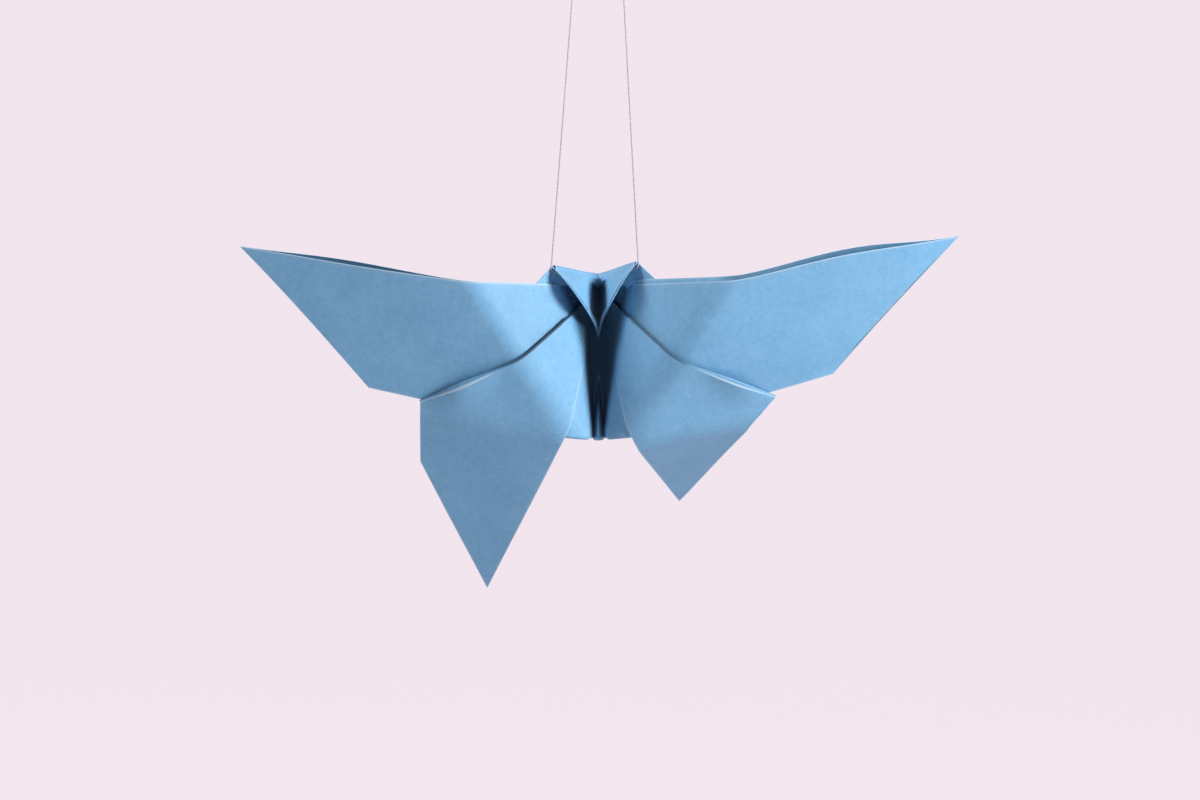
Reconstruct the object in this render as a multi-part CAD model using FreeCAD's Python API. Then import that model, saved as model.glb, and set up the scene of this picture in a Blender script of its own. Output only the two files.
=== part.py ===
import FreeCAD, Part
import math
import os

# Origami butterfly hanging from a thread. Millimetres, +Z up, +X to its right, the front faces -Y.
# The sheet is a waterbomb base: four triangles of paper lie on each other in each half.
# The two front ones turn down into the lower wings, the two back ones are the upper wings, and the
# apex is folded up behind and over the top edge, where it makes the head.
# Every place on the folded sheet is given as (across, up, depth): across from the middle line, up
# from the top edge of the wings, and depth towards the front. place() turns that into space.

# ---- driving dimensions -------------------------------------------------------------------------
sheet_half = 75.0           # half the side of the square sheet
paper = 0.12                # thickness of the paper
layer_gap = 0.05            # air between layers that lie on each other
body_height = 28.3          # top edge of the wings down to the fold that lifts the apex
rim_angle = 38.5            # slope of the rim, the folded top edge of a lower wing
wing_start = 1.2            # middle line to the inner end of the rim
wing_start_depth = 4.8      # top edge down to the upper end of a lower wing's raw edge
body_turn = 37.0            # each half of the body comes forward by this much
bend_start = 30.0           # where the soft bend leaves the top edge
bend_foot = 2.67            # where the soft bend meets the body's bottom fold
bend_radius = 2.6           # radius of the soft bend
curl_radius = 9.0           # radius at which a lower wing curls back below the body
edge_bow = 2.6              # how far the back layer of an upper wing stands off at its raw edge
rim_bow = 1.7               # how far the rim stands off the upper wing
head_width = 9.8            # middle line to the front corner of the head
head_depth = 9.6            # length of the head below the top edge
head_flare = 0.28           # how fast the head leaves the wings, per millimetre across
corner_peek = 0.5           # how far the inner layers show past the outer ones at that corner
tip_peek = 0.9              # and at the head's tip
shoulder = 12.0             # middle line to the outer corner of the lifted apex at the top edge
shoulder_step = 0.8         # how far the outer layers stop short of that corner
foot_inset = 6.0            # how far the body's bottom fold stops short of the rim's outer end
tuck_gap = 0.5              # between that fold and the layers tucked behind a lower wing
flat_roll = 0.95            # the inner layers' roll over the top edge, against a round one of 1
ridge_width = 1.9           # width of the pinched ridge down the middle of the body
ridge_height = 0.5          # how far that ridge stands out of the valley
thread = 0.3                # diameter of the thread
knot_length = 1.5           # length of the knot at the top of the thread
knot_radius = 0.675         # its radius
knot_bevel = 0.3            # bevel at its ends
hang_height = 65.5          # top edge of the wings up to the top of the thread's loop
strand_front = 8.4          # how far in front of the body's back the strands hang
strand_top = 4.6            # middle plane to a strand at the lower end of the loop
loop_top = 3.22             # middle plane to the loop's upper corner
loop_drop = 4.0             # height of the loop between the two
strand_entry = 1.7          # height above the top edge at which a strand turns into the head
tunnel_height = 0.42        # height of the thread in the middle of the head
tunnel_front = 0.2          # and how far it lies in front of the middle line
fold_radius = 1.2           # radius at which the thread goes round the head's folds
strand_clearance = 0.82     # between the end of the head's roll and a strand

# Per half: how far the wing bends back, how far the lower wing curls back, and the free corners
# of the lower wing, given flat: the outer corner and the tip, as (across, up).
LEFT = {"side": -1, "bend": 47.0, "curl": 12.0, "corner": (34.6, -40.4), "tip": (17.2, -73.0)}
RIGHT = {"side": 1, "bend": 52.0, "curl": 33.0, "corner": (33.0, -40.0), "tip": (15.0, -73.4)}
HALVES = (LEFT, RIGHT)

CURVE_STEPS = 6             # spans of a curved edge
HEM_STEPS = 5               # narrow faces round the outside of a fold
SMALL_STEP = 0.01           # step used to find a direction on the sheet
TINY = 1e-6                 # below this a distance counts as nothing
RUN_SHARE = 0.45            # an arc's setback as a share of the shorter run beside it

# ---- depths of the layers, worked out from the paper --------------------------------------------
double = 2.0 * paper
upper_front = (0.5 * layer_gap, 0.5 * layer_gap + paper)
base = (upper_front[1] + layer_gap, upper_front[1] + layer_gap + double)
lower_wing = (base[1] + layer_gap, base[1] + layer_gap + double)
head_inner = (lower_wing[1] + layer_gap, lower_wing[1] + layer_gap + double)
head_outer = (head_inner[1] + layer_gap, head_inner[1] + layer_gap + double)
upper_back = (-upper_front[1], -upper_front[0])
lifted_inner = (-base[1], -base[0])
lifted_outer = (-lower_wing[1], -lower_wing[0])

turn = math.radians(body_turn)
bend_slope = math.atan2(body_height, bend_start - bend_foot)
rim_slope = math.tan(math.radians(rim_angle))
inner_bottom = -body_height + lower_wing[1]
rim_end = (body_height / rim_slope, -body_height)


# ---- from the flat sheet into space -------------------------------------------------------------
def bend_back(across, up, depth, line, slope, radius, angle):
    """Roll what lies beyond a line back round a cylinder, and carry on straight after it."""
    along = (math.cos(slope), math.sin(slope))
    out = (along[1], -along[0])
    reach = (across - line[0]) * out[0] + (up - line[1]) * out[1] + 0.5 * radius * angle
    if reach <= 0.0:
        return across, up, depth
    rolled = min(reach / radius, angle)
    beyond = max(reach - radius * angle, 0.0)
    forward = (radius + depth) * math.sin(rolled) + beyond * math.cos(rolled)
    new_depth = (radius + depth) * math.cos(rolled) - radius - beyond * math.sin(rolled)
    shift = forward - reach
    return across + shift * out[0], up + shift * out[1], new_depth


def curl_line(half):
    """The start of the curl of a lower wing, in line with the body's bottom fold."""
    return (0.0, -body_height - 0.5 * curl_radius * math.radians(half["curl"]))


def place(half, across, up, depth, curled=False, flare=0.0):
    """Give the point in space of a place on the folded sheet; across 0 lies on the middle plane."""
    if across < TINY:
        across = depth * math.sin(turn) / (math.cos(turn) - flare * math.sin(turn))
        flat = (across, up, depth + flare * across)
    else:
        flat = (across, up, depth + flare * across)
        if curled:
            flat = bend_back(*flat, curl_line(half), 0.0, curl_radius, math.radians(half["curl"]))
        flat = bend_back(*flat, (bend_start, 0.0), bend_slope, bend_radius, math.radians(half["bend"]))
    x = flat[0] * math.cos(turn) - flat[2] * math.sin(turn)
    y = -flat[0] * math.sin(turn) - flat[2] * math.cos(turn)
    return FreeCAD.Vector(half["side"] * x, y, flat[1])


def crossing(start, end, half, ahead):
    """Where the straight line from start to end meets the soft bend: ahead -1 its start, +1 its end."""
    out = (math.sin(bend_slope), -math.cos(bend_slope))
    width = bend_radius * math.radians(half["bend"])
    first = (start[0] - bend_start) * out[0] + start[1] * out[1]
    last = (end[0] - bend_start) * out[0] + end[1] * out[1]
    share = (0.5 * ahead * width - first) / (last - first)
    return (start[0] + share * (end[0] - start[0]), start[1] + share * (end[1] - start[1]))


def level_crossing(start, end, up):
    """Where the straight line from start to end reaches a height."""
    share = (up - start[1]) / (end[1] - start[1])
    return (start[0] + share * (end[0] - start[0]), up)


# ---- edges and faces ----------------------------------------------------------------------------
def curve_through(points):
    """A straight edge through two points, or a smooth one through more."""
    if len(points) == 2:
        return Part.LineSegment(points[0], points[1]).toShape()
    curve = Part.BSplineCurve()
    curve.interpolate(points)
    return curve.toShape()


def between(start, end, curved):
    """Places along a flat line: only its ends, or evenly spaced ones where it will be curved."""
    steps = CURVE_STEPS if curved else 1
    shares = [step / steps for step in range(steps + 1)]
    return [(start[0] + s * (end[0] - start[0]), start[1] + s * (end[1] - start[1])) for s in shares]


class Layer:
    """One layer of the sheet in one half: an outline in flat cells, at a depth from back to front.

    A flat cell is a list of corners. A curved cell is ("curved", a0, a1, b1, b0): its edges a0 to a1
    and b0 to b1 are curves, and straight lines join them.
    """

    def __init__(self, half, depths, cells, bow=None, curled=False, flare=0.0):
        self.half = half
        self.back, self.front = depths
        self.cells = cells
        self.bow = bow
        self.curled = curled
        self.flare = flare

    def point(self, spot, depth):
        """The point in space of a flat spot at a depth, with the layer's bow."""
        stand_off = self.bow(spot) if self.bow else 0.0
        return place(self.half, spot[0], spot[1], depth + stand_off, self.curled, self.flare)

    def edge(self, start, end, depth, curved):
        """An edge of the layer at a depth."""
        return curve_through([self.point(spot, depth) for spot in between(start, end, curved)])

    def sides(self, cell):
        """The four or more sides of a cell, as (start, end, curved)."""
        if cell[0] == "curved":
            a0, a1, b1, b0 = cell[1:]
            return [(a0, a1, True), (a1, b1, False), (b1, b0, True), (b0, a0, False)]
        return [(cell[i], cell[(i + 1) % len(cell)], False) for i in range(len(cell))]

    def skin(self, cell, depth):
        """One face of a cell, at a depth."""
        if cell[0] == "curved":
            a0, a1, b1, b0 = cell[1:]
            return Part.makeRuledSurface(self.edge(a0, a1, depth, True), self.edge(b0, b1, depth, True))
        corners = [self.point(spot, depth) for spot in cell]
        return Part.Face(Part.makePolygon(corners + corners[:1]))

    def rim_sides(self):
        """The sides that only one cell has."""
        sides = [side for cell in self.cells for side in self.sides(cell)]
        keys = [frozenset((near(start), near(end))) for start, end, _ in sides]
        return [side for side, key in zip(sides, keys) if keys.count(key) == 1]

    def faces(self, creases):
        """Front and back skins, and the thin edge round them except along creases and the middle."""
        made = [self.skin(cell, depth) for cell in self.cells for depth in (self.front, self.back)]
        for start, end, curved in self.rim_sides():
            on_middle = start[0] < TINY and end[0] < TINY
            if on_middle or on_crease(start, end, creases):
                continue
            outer = self.edge(start, end, self.front, curved)
            inner = self.edge(start, end, self.back, curved)
            made.append(Part.makeRuledSurface(outer, inner))
        return made


def near(spot):
    """A spot rounded, so that equal corners compare equal."""
    return (round(spot[0], 5), round(spot[1], 5))


def on_crease(start, end, creases):
    """Whether a side runs along one of the creases."""
    return any(near(start) in crease and near(end) in crease for crease in creases)


def crease_of(spots):
    """The corners of a crease as a set, for comparing."""
    return {near(spot) for spot in spots}


def arc_points(first, last, outward, steps):
    """Half an ellipse from first to last that bulges outward by its own half width."""
    middle = (first + last) * 0.5
    arm = first - middle
    points = []
    for step in range(steps + 1):
        angle = math.pi * step / steps
        points.append(middle + arm * math.cos(angle) + outward * (arm.Length * math.sin(angle)))
    return points


def hem(front, back, spots, curved, outward, inner_steps=1, back_spots=None, rise=1.0):
    """The fold that joins a front layer to a back one along a crease.

    spots are the corners along the crease, curved says which stretches bend, outward is the flat
    direction away from the paper, and rise makes the fold flatter than round.
    """
    back_spots = back_spots or spots
    made = []
    for index in range(len(spots) - 1):
        ends = between(spots[index], spots[index + 1], curved[index])
        back_ends = between(back_spots[index], back_spots[index + 1], curved[index])
        outside = []
        inside = []
        for spot, back_spot in zip(ends, back_ends):
            away = (spot[0] + SMALL_STEP * outward[0], spot[1] + SMALL_STEP * outward[1])
            lift = (front.point(away, front.back) - front.point(spot, front.back)).normalize() * rise
            outside.append(arc_points(front.point(spot, front.front),
                                      back.point(back_spot, back.back), lift, HEM_STEPS))
            inside.append(arc_points(front.point(spot, front.back),
                                     back.point(back_spot, back.front), lift, inner_steps))
        for section in (outside, inside):
            rails = [curve_through(list(rail)) for rail in zip(*section)]
            made.extend(Part.makeRuledSurface(a, b) for a, b in zip(rails, rails[1:]))
        if index == 0:
            made.extend(cap(outside[0], inside[0]))
        if index == len(spots) - 2:
            made.extend(cap(outside[-1], inside[-1]))
    return made


def cap(outside, inside):
    """The thin end of a fold, left out where it lies on the middle plane."""
    if all(abs(corner.x) < TINY for corner in outside + inside):
        return []
    if len(outside) == len(inside):
        pairs = list(zip(outside, inside))
        return [Part.makeRuledSurface(curve_through([a, c]), curve_through([b, d]))
                for (a, b), (c, d) in zip(pairs, pairs[1:])]
    return [Part.Face(Part.makePolygon(outside + inside[::-1] + outside[:1]))]


def closed_solid(faces, name):
    """Sew faces into one closed solid."""
    shell = Part.makeShell(faces)
    shell.sewShape()
    shell = shell.Shells[0]
    solid = Part.makeSolid(shell)
    if solid.Volume < 0.0:
        solid.reverse()
    print(name, "faces", len(faces), "closed", shell.isClosed(), "valid", solid.isValid(),
          "volume", round(solid.Volume, 1))
    return solid


# ---- the layers of one half ---------------------------------------------------------------------
def hump(share):
    """A smooth rise from 0 to 1 and back, over shares 0 to 1."""
    return math.sin(math.pi * min(max(share, 0.0), 1.0)) ** 2


def unit(start, end):
    """The flat direction at right angles to the line from start to end, to its left."""
    length = math.hypot(end[0] - start[0], end[1] - start[1])
    return (-(end[1] - start[1]) / length, (end[0] - start[0]) / length)


def strip_ends(start, end, half):
    """Where a line enters and leaves the soft bend."""
    return crossing(start, end, half, -1), crossing(start, end, half, 1)


def outer_pocket(half):
    """The two front triangles of a half: lower wing, body front, lifted back and head outside."""
    top = (0.0, 0.0)
    foot = (0.0, -body_height)
    foot_end = (rim_end[0] - foot_inset, -body_height)
    rim_first = (wing_start, -wing_start * rim_slope)
    rim_in, rim_out = strip_ends(top, rim_end, half)
    raw_in, raw_out = strip_ends(top, half["tip"], half)
    foot_in, foot_out = strip_ends(foot, foot_end, half)
    shoulder_end = (shoulder - shoulder_step, 0.0)
    back_in, back_out = strip_ends(shoulder_end, foot_end, half)
    curl_end = -body_height - curl_radius * math.radians(half["curl"])
    tuck = -body_height - tuck_gap
    raw_foot, raw_tuck, raw_curl = [level_crossing(top, half["tip"], up)
                                    for up in (-body_height, tuck, curl_end)]
    fold_tuck, fold_curl = [level_crossing(rim_end, half["corner"], up) for up in (tuck, curl_end)]
    tuck_end = (foot_end[0] + tuck_gap, tuck)
    tuck_curl = level_crossing(tuck_end, half["corner"], curl_end)

    def stand_off(spot):
        on_rim = spot[1] > -rim_slope * spot[0] - SMALL_STEP
        return rim_bow * hump((spot[0] - rim_out[0]) / (rim_end[0] - rim_out[0])) if on_rim else 0.0

    wing = Layer(half, lower_wing, [
        [rim_first, rim_in, raw_in, level_crossing(top, half["tip"], -wing_start_depth)],
        ("curved", rim_in, rim_out, raw_out, raw_in),
        ("curved", rim_out, rim_end, raw_foot, raw_out),
        ("curved", rim_end, fold_tuck, raw_tuck, raw_foot),
        ("curved", fold_tuck, fold_curl, raw_curl, raw_tuck),
        [fold_curl, half["corner"], half["tip"], raw_curl]], bow=stand_off, curled=True)
    body = Layer(half, base, [
        [(0.0, rim_first[1]), rim_first, rim_in, foot_in, foot],
        ("curved", rim_in, rim_out, foot_out, foot_in),
        ("curved", rim_out, rim_end, foot_end, foot_out)], bow=stand_off)
    tucked = Layer(half, base, [
        ("curved", fold_tuck, fold_curl, tuck_curl, tuck_end),
        [fold_curl, half["corner"], tuck_curl]], curled=True)
    lifted = Layer(half, lifted_outer, [
        [top, shoulder_end, back_in, foot_in, foot],
        ("curved", back_in, back_out, foot_out, foot_in),
        [back_out, foot_end, foot_out]])
    head = Layer(half, head_outer, [[top, (head_width, 0.0), (0.0, -head_depth)]], flare=head_flare)

    rim = [rim_first, rim_in, rim_out, rim_end]
    bottom = [foot, foot_in, foot_out, foot_end]
    outside = [fold_tuck, fold_curl, half["corner"]]
    faces = wing.faces([crease_of(rim), crease_of(outside)])
    faces += body.faces([crease_of(rim), crease_of(bottom)])
    faces += tucked.faces([crease_of(outside)])
    faces += lifted.faces([crease_of(bottom), crease_of([top, shoulder_end])])
    faces += head.faces([crease_of([top, (head_width, 0.0)])])
    faces += hem(wing, body, rim, [False, True, True], unit(rim_first, rim_end))
    faces += hem(body, lifted, bottom, [False, True, False], (0.0, -1.0), HEM_STEPS)
    faces += hem(wing, tucked, outside, [True, False], unit(half["corner"], fold_tuck))
    faces += hem(head, lifted, [top, (head_width, 0.0)], [False], (0.0, 1.0), HEM_STEPS,
                 [top, shoulder_end])
    return faces


def inner_pocket(half):
    """The two back triangles of a half: upper wing, its back layer, lifted back and head inside."""
    top = (0.0, 0.0)
    foot = (0.0, inner_bottom)
    tip = (sheet_half, 0.0)
    outer_corner = (sheet_half + inner_bottom, inner_bottom)
    shoulder_end = (shoulder, 0.0)
    head_end = (head_width + corner_peek, 0.0)
    top_in, top_out = strip_ends(top, tip, half)
    foot_in, foot_out = strip_ends(foot, outer_corner, half)
    edge_in, edge_out = strip_ends(shoulder_end, outer_corner, half)

    def stand_off(spot):
        on_raw_edge = spot[1] > -SMALL_STEP
        return -edge_bow * hump((spot[0] - top_out[0]) / (tip[0] - top_out[0])) if on_raw_edge else 0.0

    front = Layer(half, upper_front, [
        [top, top_in, foot_in, foot],
        ("curved", top_in, top_out, foot_out, foot_in),
        [top_out, tip, outer_corner, foot_out]])
    back = Layer(half, upper_back, [
        [top, top_in, edge_in, foot_in, foot],
        ("curved", top_in, top_out, edge_out, edge_in),
        ("curved", edge_in, edge_out, foot_out, foot_in),
        ("curved", top_out, tip, outer_corner, edge_out),
        [edge_out, outer_corner, foot_out]], bow=stand_off)
    lifted = Layer(half, lifted_inner, [
        [top, shoulder_end, edge_in, foot_in, foot],
        ("curved", edge_in, edge_out, foot_out, foot_in),
        [edge_out, outer_corner, foot_out]])
    head = Layer(half, head_inner, [[top, head_end, (0.0, -head_depth - tip_peek)]], flare=head_flare)

    outside = [tip, outer_corner]
    bottom = [foot, foot_in, foot_out, outer_corner]
    faces = front.faces([crease_of(outside)])
    faces += back.faces([crease_of(outside), crease_of(bottom)])
    faces += lifted.faces([crease_of(bottom), crease_of([top, shoulder_end])])
    faces += head.faces([crease_of([top, head_end])])
    faces += hem(front, back, outside, [False], unit(outer_corner, tip))
    faces += hem(back, lifted, bottom, [False, True, False], (0.0, -1.0))
    faces += hem(head, lifted, [top, head_end], [False], (0.0, 1.0), HEM_STEPS,
                 [top, shoulder_end], rise=flat_roll)
    return faces


# ---- the pieces ---------------------------------------------------------------------------------
def pinched_ridge():
    """The small ridge pinched down the valley of the body, where all the layers are pressed together."""
    valley_front = -base[1] / math.cos(turn)
    valley_back = -lifted_outer[0] / math.cos(turn)
    half_width = 0.5 * ridge_width
    side_front = valley_front - half_width * math.tan(turn) + 0.5 * paper
    outline = [(0.0, side_front - ridge_height), (half_width, side_front), (0.5 * half_width, 0.0),
               (0.0, valley_back - paper), (-0.5 * half_width, 0.0), (-half_width, side_front)]
    corners = [FreeCAD.Vector(x, y, -body_height) for x, y in outline]
    face = Part.Face(Part.makePolygon(corners + corners[:1]))
    return face.extrude(FreeCAD.Vector(0.0, 0.0, body_height - double))


def folded_sheet():
    """The whole sheet: two pockets, one inside the other, held together by the pinched ridge."""
    pockets = []
    for name, pocket in (("outer pocket", outer_pocket), ("inner pocket", inner_pocket)):
        faces = [face for half in HALVES for face in pocket(half)]
        pockets.append(closed_solid(faces, name))
    return pinched_ridge().fuse(pockets)


def thread_route():
    """The corners of the thread's route, from the knot down, through the head, and up to the knot."""
    corner = head_width + corner_peek
    roll_across = 0.5 * (corner + shoulder)
    roll_depth = 0.5 * (head_inner[1] + head_flare * corner + lifted_inner[0])
    roll_end = roll_across * math.cos(turn) - roll_depth * math.sin(turn)
    strand_end = roll_end + strand_clearance
    down = [(0.5 * knot_length, -strand_front, hang_height),
            (loop_top, -strand_front, hang_height),
            (strand_top, -strand_front, hang_height - loop_drop),
            (strand_end, -strand_front, strand_entry)]
    middle = (0.0, -tunnel_front, tunnel_height)
    left = [FreeCAD.Vector(-x, y, z) for x, y, z in down]
    right = [FreeCAD.Vector(x, y, z) for x, y, z in reversed(down)]
    return left + [FreeCAD.Vector(*middle)] + right


def rounded_path(corners, tight_corners, tight_radius):
    """Straight runs through corners, joined by arcs as large as the runs allow, or tight ones."""
    edges = []
    start = corners[0]
    for index in range(1, len(corners) - 1):
        before = corners[index - 1] - corners[index]
        after = corners[index + 1] - corners[index]
        half_turn = 0.5 * (math.pi - before.getAngle(after))
        radius = RUN_SHARE * min(before.Length, after.Length) / math.tan(half_turn)
        if index in tight_corners:
            radius = tight_radius
        setback = radius * math.tan(half_turn)
        to_before = FreeCAD.Vector(before).normalize()
        to_after = FreeCAD.Vector(after).normalize()
        enter = corners[index] + to_before * setback
        leave = corners[index] + to_after * setback
        inward = (to_before + to_after).normalize()
        crest = corners[index] + inward * (radius / math.cos(half_turn) - radius)
        edges.append(Part.LineSegment(start, enter).toShape())
        edges.append(Part.Arc(enter, crest, leave).toShape())
        print("thread corner", index, "radius", round(radius, 2))
        start = leave
    edges.append(Part.LineSegment(start, corners[-1]).toShape())
    return Part.Wire(edges)


def hanging_thread():
    """The thread as a tube along its route, tight only where it goes round the head's folds."""
    corners = thread_route()
    middle = len(corners) // 2
    path = rounded_path(corners, (middle - 1, middle, middle + 1), fold_radius)
    direction = corners[1] - corners[0]
    section = Part.Wire([Part.makeCircle(0.5 * thread, corners[0], direction)])
    tube = path.makePipeShell([section], True, True)
    expected = math.pi * 0.25 * thread ** 2 * path.Length
    print("thread length", round(path.Length, 2), "volume", round(tube.Volume, 4), "of", round(expected, 4))
    return tube


def thread_knot():
    """The knot that closes the thread's loop: a short barrel with bevelled ends."""
    start = FreeCAD.Vector(-0.5 * knot_length, -strand_front, hang_height)
    barrel = Part.makeCylinder(knot_radius, knot_length, start, FreeCAD.Vector(1.0, 0.0, 0.0))
    ends = [edge for edge in barrel.Edges if edge.Closed]
    return barrel.makeChamfer(knot_bevel, ends)


def main():
    """Build the pieces and write one file for each, with the origin at the knot."""
    os.makedirs("parts", exist_ok=True)
    pieces = {"folded_sheet": folded_sheet(), "hanging_thread": hanging_thread(),
              "thread_knot": thread_knot()}
    to_origin = FreeCAD.Vector(0.0, strand_front, -hang_height)
    for name, shape in pieces.items():
        shape = shape.removeSplitter() if name == "folded_sheet" else shape
        shape.translate(to_origin)
        shape.exportStep("parts/" + name + ".step")
        box = shape.BoundBox
        print(name, "solids", len(shape.Solids), "valid", shape.isValid(), "volume", round(shape.Volume, 2),
              "size", round(box.XLength, 1), round(box.YLength, 1), round(box.ZLength, 1))


main()
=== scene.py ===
# %% [markdown]
# # A folded paper butterfly on its thread
# The real object is one square of thin blue paper, folded into a butterfly and hung by a pale thread
# that runs through the fold on its head. A flat mesh could be folded step by step, but small errors
# would add up. Here each point starts at the place it has while the paper lies folded flat. One soft
# bend, a curl of the lower wings and a turn about the body then carry those places into space, so
# every layer follows the same creases.

# %% Load the frame
import math

import bmesh
import bpy
import numpy as np
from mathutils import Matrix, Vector


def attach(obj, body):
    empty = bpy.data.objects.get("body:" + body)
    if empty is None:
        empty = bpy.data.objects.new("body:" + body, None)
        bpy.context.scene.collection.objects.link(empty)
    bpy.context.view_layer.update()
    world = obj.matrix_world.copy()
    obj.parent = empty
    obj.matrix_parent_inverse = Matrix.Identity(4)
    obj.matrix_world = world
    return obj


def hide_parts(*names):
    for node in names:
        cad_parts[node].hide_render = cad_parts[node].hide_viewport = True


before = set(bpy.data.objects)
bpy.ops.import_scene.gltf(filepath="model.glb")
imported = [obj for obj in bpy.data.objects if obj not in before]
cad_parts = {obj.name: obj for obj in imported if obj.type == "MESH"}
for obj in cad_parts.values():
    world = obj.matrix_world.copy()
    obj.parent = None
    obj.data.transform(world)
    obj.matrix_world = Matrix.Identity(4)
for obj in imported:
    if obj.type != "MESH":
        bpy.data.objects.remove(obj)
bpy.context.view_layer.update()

MM = 0.001

# %% [markdown]
# ## Where things are
# The frame's origin is the knot at the top of the thread. The butterfly's own reference point is the
# middle of its wings' top edge, which hangs straight below the knot and a little behind it. Sizes
# are in millimetres. Most are the CAD sheet's own, but the bends are wider here.

# %% Sizes of the folded sheet
hang_height = 65.5
strand_front = 8.4
top_edge = np.array([0.0, strand_front, -hang_height])

paper = 0.12
layer_gap = 0.05
body_height = 28.3
body_turn = math.radians(37.0)
bend_start = 30.0
bend_foot = 7.5
bend_slope = math.atan2(body_height, bend_start - bend_foot)
bend_radius = 5.5
curl_radius = 9.0
print("top edge of the wings, in mm:", top_edge)

# %% [markdown]
# ## Two halves that differ
# Hands don't fold both halves alike, so each half has its own sizes. A flat place is (across, up)
# from the middle of the wings' top edge. edge_rise lifts an upper wing's top edge beyond its bend,
# edge_bow and back_rise set its back layer off from the front one, rim_bow opens the lower wing's
# rim, and rim_lip widens the fold of that rim.

# %% The two halves
LEFT = {"side": -1, "bend": math.radians(47.0), "curl": math.radians(12.0),
        "wing_tip": (74.5, 0.2), "wing_corner": (46.7, -26.35), "rim_end": (36.5, -27.0),
        "corner": (34.9, -41.1), "tip": (18.0, -70.8), "peak": (11.5, 3.1), "back_rise": 0.1,
        "edge_bow": 1.5, "edge_rise": -0.3, "rim_bow": 1.0, "rim_lip": 2.2}
RIGHT = {"side": 1, "bend": math.radians(52.0), "curl": math.radians(37.0),
         "wing_tip": (75.5, 0.7), "wing_corner": (48.1, -25.0), "rim_end": (36.3, -26.65),
         "corner": (30.8, -31.6), "tip": (15.9, -63.4), "peak": (9.7, 3.9), "back_rise": 0.9,
         "edge_bow": 0.6, "edge_rise": 0.9, "rim_bow": 0.6, "rim_lip": 1.6}
HALVES = (LEFT, RIGHT)
for half in HALVES:
    half.update({name: np.array(value) for name, value in half.items() if isinstance(value, tuple)})
print("flat places of a half:", [name for name, value in LEFT.items() if isinstance(value, np.ndarray)])

# %% [markdown]
# ## The camera
# A long lens far away keeps the wings nearly free of perspective. The camera is level, looks along
# +Y at the front of the butterfly, and stands a little below the wings' top edge.

# %% Camera
camera_distance = 654.6
camera_drop = 22.4
camera_aside = 0.3


def add_object(name, data):
    """A new object of some data, linked into the scene."""
    thing = bpy.data.objects.new(name, data)
    bpy.context.scene.collection.objects.link(thing)
    return thing


camera_data = bpy.data.cameras.new("camera")
camera_data.lens = 100.0
camera_data.sensor_width = 36.0
camera = add_object("camera", camera_data)
camera.location = (top_edge + (camera_aside, -camera_distance, -camera_drop)) * MM
camera.rotation_euler = (math.radians(90.0), 0.0, 0.0)
bpy.context.scene.camera = camera
print("camera at", [round(v, 4) for v in camera.location])

# %% [markdown]
# ## The hanging thread
# One thread runs down from the knot, through the tunnel of paper on the head, and up to the knot
# again. The butterfly's weight pulls both strands straight, so the control points sit close to the
# few places where the thread turns. A NURBS curve of order 3 stays inside those corners. Its
# thickness is the radius of its points, with a bevel of 1, because a curve's box counts that radius.

# %% Thread
thread_size = 0.3
knot_side = np.array([0.75, 0.0, 0.0])
loop_top = np.array([3.22, 0.0, 0.0])
loop_side = np.array([4.6, 0.0, -4.0])
left_corner = np.array([-9.2, 1.3, -62.9])
right_corner = np.array([7.8, 2.3, -62.1])
head_middle = np.array([0.0, 9.9, -64.7])
near_fold = 1.8
near_loop = 4.2
mirror = np.array([-1.0, 1.0, 1.0])


def nudge(start, towards, distance):
    """The point on the way from start towards another point, at a distance."""
    start, towards = np.array(start), np.array(towards)
    return start + (towards - start) * distance / np.linalg.norm(towards - start)


def strand(side, corner):
    """One strand's points from the knot down to the head's corner and into the middle of its fold."""
    beside, high, low = knot_side * side, loop_top * side, loop_side * side
    return [beside, high, low, nudge(low, corner, near_loop), nudge(corner, low, near_fold), corner,
            nudge(corner, head_middle, near_fold), nudge(head_middle, corner, near_fold)]


def nurbs_cord(name, points, diameter):
    """A round cord whose line is one smooth NURBS curve with these control points."""
    curve = bpy.data.curves.new(name, "CURVE")
    curve.dimensions = "3D"
    curve.bevel_depth = 1.0
    curve.bevel_resolution = 3
    curve.use_fill_caps = True
    spline = curve.splines.new("NURBS")
    spline.points.add(len(points) - 1)
    for control, point in zip(spline.points, points):
        control.co = (*(point * MM), 1.0)
        control.radius = 0.5 * diameter * MM
    spline.order_u = 3
    spline.use_endpoint_u = True
    spline.resolution_u = 12
    return add_object(name, curve)


thread_points = strand(mirror, left_corner) + [head_middle] + strand(np.ones(3), right_corner)[::-1]
thread = nurbs_cord("thread_strands", thread_points, thread_size)
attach(thread, "root")
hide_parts("hanging_thread")
thread_length = sum(np.linalg.norm(b - a) for a, b in zip(thread_points, thread_points[1:]))
print("thread's control points joined by straight lines:", round(float(thread_length), 1), "mm")

# %% [markdown]
# ## The knot
# The thread's two ends are tied in a small knot. A trefoil is the closed line of an overhand knot, so
# one round tube along it looks tied. It could be sculpted, but at 1 mm nobody would see the gain.

# %% Knot
knot_points = 72
knot_size = 0.165
knot_sides = 10
slanted = (0.31, 0.59, 0.74)


def overhand_route(count, size):
    """A trefoil: x = sin t + 2 sin 2t, y = -sin 3t, z = cos t - 2 cos 2t, times a size."""
    t = np.linspace(0.0, 2.0 * math.pi, count, endpoint=False)
    return size * np.stack([np.sin(t) + 2.0 * np.sin(2.0 * t), -np.sin(3.0 * t),
                            np.cos(t) - 2.0 * np.cos(2.0 * t)], axis=1)


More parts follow.
